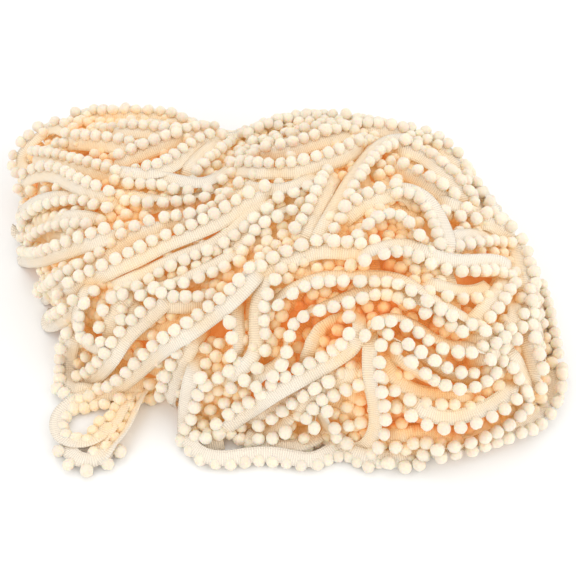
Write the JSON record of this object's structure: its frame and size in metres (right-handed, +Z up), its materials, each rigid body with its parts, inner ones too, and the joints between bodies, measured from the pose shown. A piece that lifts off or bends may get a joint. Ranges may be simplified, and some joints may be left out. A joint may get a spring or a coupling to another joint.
{
  "type": "pompom fringe trim",
  "caption": "Loose tangled heap of cream pompom fringe trim: a fine-ribbed woven tape with a row of small round yarn pompoms along one edge, piled on a surface",
  "frame": {"origin": "middle of the heap's box, on the surface it lies on", "axes": "+X to the right and -Y towards the viewer, as in the picture; +Z up"},
  "size_m": [0.4236, 0.3744, 0.13],
  "materials": {
    "heap": "matte cream cotton trim, packed",
    "tape": "matte cream woven cotton tape with fine cross ribs",
    "pompom": "soft cut cotton yarn, velvety"
  },
  "bodies": {
    "root": {"heap_core": "heap", "tape_floor_loop": "tape", "pompoms_floor_loop": "pompom", "tape_floor_strand": "tape", "pompoms_floor_strand": "pompom", "tape_skyline_left": "tape", "pompoms_skyline_left": "pompom", "tape_crown_left": "tape", "pompoms_crown_left": "pompom", "tape_shoulder_left": "tape", "pompoms_shoulder_left": "pompom", "tape_wide_face_left": "tape", "pompoms_wide_face_left": "pompom", "tape_crown_dip": "tape", "pompoms_crown_dip": "pompom", "tape_saddle": "tape", "pompoms_saddle": "pompom", "tape_summit_face": "tape", "pompoms_summit_face": "pompom", "tape_summit_arc": "tape", "pompoms_summit_arc": "pompom", "tape_summit_right": "tape", "pompoms_summit_right": "pompom", "tape_skyline_right": "tape", "pompoms_skyline_right": "pompom", "tape_long_lower": "tape", "pompoms_long_lower": "pompom", "tape_long_upper": "tape", "pompoms_long_upper": "pompom", "tape_middle_upper": "tape", "pompoms_middle_upper": "pompom", "tape_right_upper": "tape", "pompoms_right_upper": "pompom", "tape_right_rim": "tape", "pompoms_right_rim": "pompom", "tape_middle_lower": "tape", "pompoms_middle_lower": "pompom", "tape_brow_right": "tape", "pompoms_brow_right": "pompom", "tape_drop_left": "tape", "pompoms_drop_left": "pompom", "tape_slope_left": "tape", "pompoms_slope_left": "pompom", "tape_ridge_left": "tape", "pompoms_ridge_left": "pompom", "tape_sweep_front": "tape", "pompoms_sweep_front": "pompom", "tape_drop_right": "tape", "pompoms_drop_right": "pompom", "tape_sweep_right": "tape", "pompoms_sweep_right": "pompom", "tape_back_low": "tape", "pompoms_back_low": "pompom", "tape_back_high": "tape", "pompoms_back_high": "pompom", "tape_back_middle": "tape", "pompoms_back_middle": "pompom", "tape_back_right": "tape", "pompoms_back_right": "pompom"}
  },
  "joints": []
}
